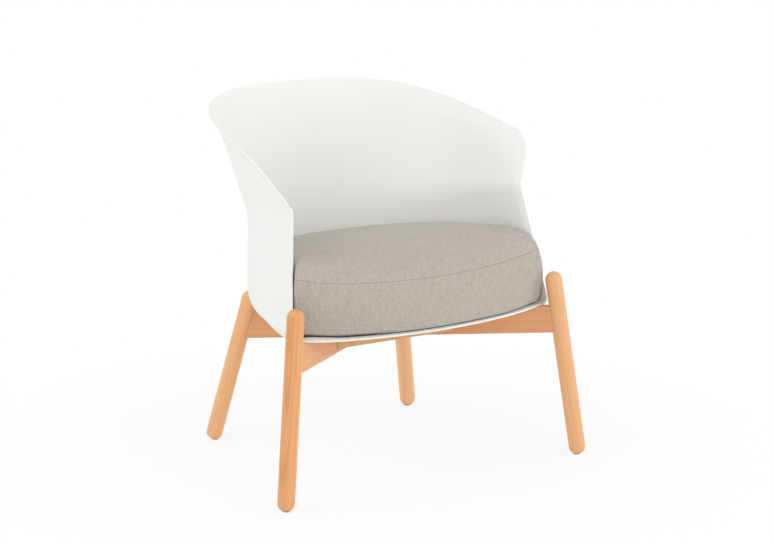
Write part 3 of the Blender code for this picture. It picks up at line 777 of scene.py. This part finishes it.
def whole_ring(half, low):
    """A ring from its left half, with the cover out of place at its right front.

    Low is -1 at the crown, 0 at the seam and 1 at the foot of the boxing and below.
    """
    right = [Vector((-p.x, p.y, p.z)) for p in reversed(half[1:-1])]
    for point in right:
        front = smooth((SETTLE_FRONT - point.y) / SETTLE_FRONT_FADE)
        corner = smooth((-point.x - SETTLE_CORNER) / SETTLE_CORNER_FADE) * front
        point.x += SETTLE[0] * corner * max(4 * low * (1 - low), 0.0)
        point.y += SETTLE[1] * (point.x / SETTLE_WIDTH) ** 2 * max(low, 0.0) * front
        point.z += SETTLE[2] * corner * (1 - abs(low))
    return half + right


def panel_height(point, edge, middle, share):
    """Height of the top panel over its side seams: the crown, less a drop to the front seam."""
    side = edge[CUSHION_COLUMNS[0]]
    for behind, ahead in zip(edge, edge[1:CUSHION_COLUMNS[0] + 1]):
        if behind.y >= point.y >= ahead.y:
            side = behind.lerp(ahead, (behind.y - point.y) / (behind.y - ahead.y))
    half_width = side.x + SIDE_ROOM * (1 - smooth((point.y - CUSHION_SHOULDER) / ROOM_FADE))
    front_depth = middle - front_line(abs(point.x)) - SEAM_EDGE.clear
    forward = max(middle - point.y, 0.0) / front_depth
    sideways = (abs(point.x) if forward else share * side.x) / half_width
    rise = (1 - forward ** CROWN_SQUARENESS) * (1 - sideways ** CROWN_SQUARENESS)
    depth = (middle - point.y) / (edge[0].y - middle)
    lean = 1 + CROWN_LEAN[0] * depth - CROWN_LEAN[1] * depth ** 2
    drop = SEAM_DIP * forward ** 2 * (1 - min(sideways, 1.0) ** DIP_POWER)
    return CROWN * max(rise, 0.0) ** CROWN_POWER * lean - drop * (1 - share ** DROP_POWER)


def top_rings(edge, seam, top):
    """Rings of the top panel, from near the crown to near the seam."""
    half = Vector((max(point.x for point in edge), (edge[0].y - edge[-1].y) / 2))
    rings = []
    for share in TOP_SHARES:
        soft = CROWN_ROUND * smooth((1 - share) / ROUND_EDGE)
        row = []
        for point in seam:
            out = point - top
            oval = 1 / math.hypot(out.x / half.x, out.y / half.y)
            pull = share * (1 + (oval - 1) * soft)
            place = top + Vector((out.x * pull, out.y * pull, out.z * share ** DROP_POWER))
            place.z += panel_height(place, edge, top.y, pull)
            row.append(place)
        rings.append(row)
    return rings


def cushion_rings():
    """Rings of the cushion's surface, with its crown and the middle of its underside."""
    edge, under, pan = (cushion_outline(ends) for ends in (SEAM_EDGE, LOW_EDGE, PAN_EDGE))
    inward = inward_normals(under)
    inward[-1] = Vector((0, 1, 0))
    middle = Vector((0, (edge[0].y + edge[-1].y) / 2, 0))
    seam = [Vector((p.x, p.y, SEAM_HEIGHT - seam_drop(p.x, p.y))) for p in edge]
    top = middle + Vector((0, 0, SEAM_HEIGHT))
    rings = top_rings(edge, seam, top) + [seam]
    floor = SHELL_WALL + 2 * FIT
    columns = []
    for index, point in enumerate(under):
        back = smooth((point.y - CUSHION_SHOULDER) / ROUND_FADE)
        reach = FRONT_BOTTOM_ROUND + (BOTTOM_ROUND[1] + CUSHION_GAP - FRONT_BOTTOM_ROUND) * back
        low = Vector((point.x, point.y, floor))
        inner = low + inward[index] * reach
        if index > CUSHION_COLUMNS[0]:
            inner = Vector((pan[index].x, pan[index].y, floor))
        turn = parabola(low + Vector((0, 0, reach)), low, inner, TURN_STEPS)
        turn = [p - Vector((0, 0, pan_drop(p.x, p.y))) for p in turn]
        bulge = BOXING_BULGE * smooth((BULGE_START - edge[index].y) / BULGE_FADE)
        boxing = []
        for share in even_shares(BOXING_ROWS + 1)[1:-1]:
            out = inward[index] * bulge * 4 * share * (1 - share)
            boxing.append(seam[index].lerp(turn[0], share) - out)
        columns.append(boxing + turn)
    rings += [list(ring) for ring in zip(*columns)]
    turned = rings[-1]
    for share in UNDER_SHARES:
        row = [middle.lerp(Vector((p.x, p.y, 0)), share) for p in turned]
        rings.append([Vector((p.x, p.y, floor - pan_drop(p.x, p.y))) for p in row])
    return rings, top + Vector((0, 0, CROWN)), middle + Vector((0, 0, floor))


def laid_flat(point, crown):
    """Where a point of the top panel would lie if its front and back slopes were spread out."""
    out = Vector((point.x - crown.x, point.y - crown.y, 0)).normalized()
    return Vector((point.x, point.y + out.y * (crown.z - point.z) * SLOPE_SPREAD, 0))


def mark_seams_and_painted_shade(rows, seam):
    """Mark the stitch lines, a painted contact shadow along the foot of the boxing and painted
    shade on the cloth turned under it.
    """
    for vert in rows[SEAM_ROW] + rows[STITCH_ROW]:
        vert[seam] = STITCHED
    # Painted contact shadow along the foot of the boxing, stronger toward the cushion's right side
    for vert in rows[SHADE_ROW]:
        vert[seam] = SHADED * smooth((-vert.co.x - SHADE_START) / SHADE_FADE)
    # Painted shade on the cloth turned under
    for row in rows[UNDER_ROW:]:
        for vert in row:
            vert[seam] = PAINTED_UNDER_SHADE


def make_cushion(material):
    """The sewn cover, swollen by its filling."""
    rings, crown, floor = cushion_rings()
    lows = [share ** SETTLE_POWER - 1 for share in TOP_SHARES] + even_shares(BOXING_ROWS + 1)
    lows += [1.0] * (len(rings) - len(lows))
    bm = bmesh.new()
    thread = bm.loops.layers.float_vector.new("thread")
    seam = bm.verts.layers.float.new("seam")
    crease = bm.edges.layers.float.new("crease_edge")
    rows = [[bm.verts.new(point) for point in whole_ring(ring, low)]
            for ring, low in zip(rings, lows)]
    mark_seams_and_painted_shade(rows, seam)
    first = bm.verts.new(crown)
    last = bm.verts.new(floor)
    count = len(rows[0])
    seam_pairs = list(zip(rows[SEAM_ROW], rows[SEAM_ROW][1:] + rows[SEAM_ROW][:1]))
    seam_length = [0.0]
    for start, end in seam_pairs:
        seam_length.append(seam_length[-1] + (end.co - start.co).length)
    for column in range(count):
        after = (column + 1) % count
        bm.faces.new((first, rows[0][column], rows[0][after]))
        bm.faces.new((last, rows[-1][after], rows[-1][column]))
    for number, (upper, lower) in enumerate(zip(rows, rows[1:])):
        boxing = SEAM_ROW <= number < UNDER_ROW
        for column, face in enumerate(add_strip(bm, upper, lower, loop=True)):
            after = (column + 1) % count
            for corner in face.loops:
                if boxing:
                    ahead = corner.vert in (upper[after], lower[after])
                    height = corner.vert.co.z + BOXING_THREADS
                    corner[thread] = (seam_length[column + int(ahead)], height, 0)
                else:
                    corner[thread] = laid_flat(corner.vert.co, crown)
    for fan in (first, last):
        for face in fan.link_faces:
            for corner in face.loops:
                corner[thread] = (corner.vert.co.x, corner.vert.co.y, 0)
    bmesh.ops.recalc_face_normals(bm, faces=bm.faces)
    for pair in seam_pairs:
        bm.edges.get(pair)[crease] = SEAM_CREASE
    bm.verts.index_update()
    held = [vert.index for row in rows[SHADE_ROW:] for vert in row] + [last.index]
    held += [vert.index for vert in rows[SEAM_ROW]]
    cushion = add_mesh_object("seat_cushion", bm, material)
    swell_cushion(cushion, held)
    cushion.data.transform(SEAT)
    finer = cushion.modifiers.new("finer", "SUBSURF")
    finer.levels = 2
    finer.render_levels = 2
    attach(cushion, "root")
    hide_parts("cushion_cover", "cushion_foam")


def blown_up(cushion, held):
    """Places of the cover's vertices after a cloth simulation with some of them held."""
    scene = bpy.context.scene
    group = cushion.vertex_groups.new(name="held")
    group.add(held, 1.0, "REPLACE")
    cloth = cushion.modifiers.new("cloth", "CLOTH")
    settings = cloth.settings
    settings.quality = 8
    settings.mass = 0.35
    settings.tension_stiffness = 25
    settings.compression_stiffness = 15
    settings.shear_stiffness = 10
    settings.bending_stiffness = 3
    settings.vertex_group_mass = "held"
    settings.use_pressure = True
    settings.uniform_pressure_force = SWELL_PRESSURE
    settings.effector_weights.gravity = 0.0
    cloth.collision_settings.use_collision = False
    cloth.point_cache.frame_start = 1
    cloth.point_cache.frame_end = SWELL_FRAMES + 5
    for number in range(1, SWELL_FRAMES + 1):
        scene.frame_set(number)
    graph = bpy.context.evaluated_depsgraph_get()
    moved = [vert.co.copy() for vert in cushion.evaluated_get(graph).data.vertices]
    cushion.modifiers.remove(cloth)
    cushion.vertex_groups.remove(group)
    scene.frame_set(1)
    return moved


def swell_cushion(cushion, held):
    """Blow the sewn cover up, with its seam and underside held, and keep the evened result."""
    start = [vert.co.copy() for vert in cushion.data.vertices]
    steps = []
    for before, after in zip(start, blown_up(cushion, held)):
        step = after - before
        steps.append(step * min(SWELL_CAP / max(step.length, SWELL_CAP), 1.0))
    beside = [[] for _ in steps]
    for edge in cushion.data.edges:
        first, second = edge.vertices
        beside[first].append(second)
        beside[second].append(first)
    fixed = set(held)
    for _ in range(SWELL_EVENING):
        evened = []
        for number, step in enumerate(steps):
            if number not in fixed:
                near = beside[number]
                step = sum((steps[other] for other in near), step) / (len(near) + 1)
            evened.append(step)
        steps = evened
    for vert, before, step in zip(cushion.data.vertices, start, steps):
        free = smooth((BULGE_START - before.y) / BULGE_FADE)
        if before.z < SEAM_HEIGHT:
            step = Vector((step.x * free, step.y * free, step.z))
        vert.co = before + step


# Wooden frame

def make_leg(end, side, material):
    """A round bar with a domed top and a blunter foot, which hides most of the glide."""
    foot, top = leg_axis(end, side)
    way = (top - foot).normalized()
    length = (top - foot).length
    deep = (FOOT_CENTRE - FOOT_CLEAR) / way.z
    turns = [math.pi / 2 * (1 - share) for share in even_shares(DOME_STEPS)]
    profile = [(LEG_RADIUS * math.cos(t), length + LEG_RADIUS * math.sin(t)) for t in turns]
    profile += [(LEG_RADIUS, length * share) for share in reversed(even_shares(SHAFT_PARTS)[1:-1])]
    profile += [(LEG_RADIUS * math.cos(t) ** FOOT_BLUNTNESS, -deep * math.sin(t) ** FOOT_BLUNTNESS)
                for t in reversed(turns)]
    turn = way.to_track_quat("Z", "Y").to_matrix()
    bm = bmesh.new()
    rows = []
    for radius, height in profile[1:-1]:
        row = []
        for step in range(LEG_SIDES):
            angle = math.tau * step / LEG_SIDES
            round_bar = Vector((radius * math.cos(angle), radius * math.sin(angle), height))
            point = foot + turn @ round_bar
            point.z = max(point.z, FOOT_CLEAR)
            row.append(bm.verts.new(point))
        rows.append(row)
    for upper, lower in zip(rows, rows[1:]):
        add_strip(bm, upper, lower, loop=True)
    tip = bm.verts.new(foot + way * (length + LEG_RADIUS))
    lowest = foot - way * deep
    heel = bm.verts.new((lowest.x, lowest.y, FOOT_CLEAR))
    for step in range(LEG_SIDES):
        after = (step + 1) % LEG_SIDES
        bm.faces.new((tip, rows[0][step], rows[0][after]))
        bm.faces.new((heel, rows[-1][after], rows[-1][step]))
    bmesh.ops.recalc_face_normals(bm, faces=bm.faces)
    leg = add_mesh_object(f"turned_leg_{end}_{side}", bm, material)
    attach(leg, "root")
    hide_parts(f"leg_{end}_{side}")


def dress_node(name, material):
    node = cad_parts[name]
    node.data.materials.clear()
    node.data.materials.append(material)


def dress_frame():
    """Make the legs and give the other pieces of the frame their materials."""
    tilt = SEAT.to_3x3()
    up = tilt @ Vector((0, 0, 1))
    level = Vector((1, 0, 0))
    for (corner, tone), turn in zip(LEG_BEECH.items(), LEG_RINGS_TURN):
        foot, top = leg_axis(*corner)
        name = "beech_leg_{}_{}".format(*corner)
        make_leg(*corner, wood(name, tone, top - foot, Vector((1, turn, 0))))
    for side, tone in RAIL_BEECH.items():
        material = wood(f"beech_rail_{side}", tone, tilt @ rail_line(side)[1], up)
        dress_node(f"rail_front_{side}_to_rear_{other_side(side)}", material)
    dress_node("front_stretcher", wood("beech_stretcher", STRETCHER_BEECH, level, up))
    dowel = wood("beech_dowel_wood", DOWEL_BEECH, level, up)
    metal = steel("zinc_plate")
    ply = plywood("birch_plywood")
    grey = plastic("grey_glide", GLIDE_GREY, roughness=0.5, grain=0.0006)
    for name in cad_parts:
        if "dowel" in name:
            dress_node(name, dowel)
        elif name.startswith(("seat_bolt", "tee_nut")):
            dress_node(name, metal)
        elif name.startswith("glide"):
            dress_node(name, grey)
        elif name == "cushion_board":
            dress_node(name, ply)


# Stage

def seen_directly(made):
    """1 on camera, glossy and transmission rays, which show the white background, or 0."""
    paths = made.node("LightPath").outputs
    seen = paths["Is Camera Ray"]
    for name in ("Is Glossy Ray", "Is Transmission Ray"):
        seen = made.math("MAXIMUM", seen, paths[name])
    return seen


def make_floor():
    """A white floor, which shows the chair's shadow close to it."""
    made = new_material("white_floor")
    nodes = made.tree.nodes
    nodes.remove(nodes["Principled BSDF"])
    paint = made.node("BsdfDiffuse")
    paint.inputs["Color"].default_value = (*FLOOR_PAINT, 1)
    glow = made.node("Emission")
    glow.inputs["Strength"].default_value = 1.0
    away = made.vector("LENGTH", made.node("NewGeometry").outputs["Position"])
    share = made.ramp(away, GLOW_START, GLOW_FULL, least=GLOW_LEAST)
    seen = made.mix_shaders(made.times(seen_directly(made), share), paint, glow)
    made.link(seen, nodes["Material Output"].inputs["Surface"])
    mesh = bpy.data.meshes.new("floor")
    corners = [(x * FLOOR_SIZE, y * FLOOR_SIZE, 0) for x, y in ((-1, -1), (1, -1), (1, 1), (-1, 1))]
    mesh.from_pydata(corners, [], [(0, 1, 2, 3)])
    floor = add_object("floor", mesh, made.owner)


def make_world():
    """Even light from all round, seen as white."""
    made = Nodes(bpy.data.worlds.new("studio"))
    nodes = made.tree.nodes
    sky = nodes["Background"]
    sky.inputs["Color"].default_value = (*SKY_COLOUR, 1)
    sky.inputs["Strength"].default_value = SKY_STRENGTH
    white = made.node("Background")
    white.inputs["Color"].default_value = (1, 1, 1, 1)
    seen = made.mix_shaders(seen_directly(made), sky, white)
    made.link(seen, nodes["World Output"].inputs["Surface"])
    return made.owner


def make_lamp(lamp):
    light = bpy.data.lights.new(lamp.name, "AREA")
    light.shape = "DISK"
    light.size = LAMP_SIZE
    light.energy = lamp.power
    light.color = lamp.colour
    obj = bpy.data.objects.new(lamp.name, light)
    obj.location = lamp.place
    obj.rotation_mode = "QUATERNION"
    obj.rotation_quaternion = (LAMP_AIM - Vector(lamp.place)).to_track_quat("-Z", "Y")
    bpy.context.scene.collection.objects.link(obj)


def make_camera():
    data = bpy.data.cameras.new("camera")
    data.sensor_width = SENSOR_WIDTH
    data.lens = FOCAL_PIXELS / PICTURE_WIDTH * SENSOR_WIDTH
    data.clip_end = CAMERA_REACH
    camera = bpy.data.objects.new("camera", data)
    x, y, z = CAMERA_PLACE
    camera.location = (x, y + SHIFT, z)
    camera.rotation_euler = (math.radians(90 - CAMERA_DOWN), 0, math.radians(CAMERA_TURN))
    bpy.context.scene.collection.objects.link(camera)
    return camera


scene = bpy.context.scene
scene.view_settings.view_transform = "Standard"
scene.world = make_world()
for lamp in LAMPS:
    make_lamp(lamp)
scene.camera = make_camera()
make_floor()
dress_frame()
make_shell(plastic("white_satin_plastic", SHELL_WHITE, roughness=0.5, grain=0.0008))
make_cushion(fabric("melange_weave"))
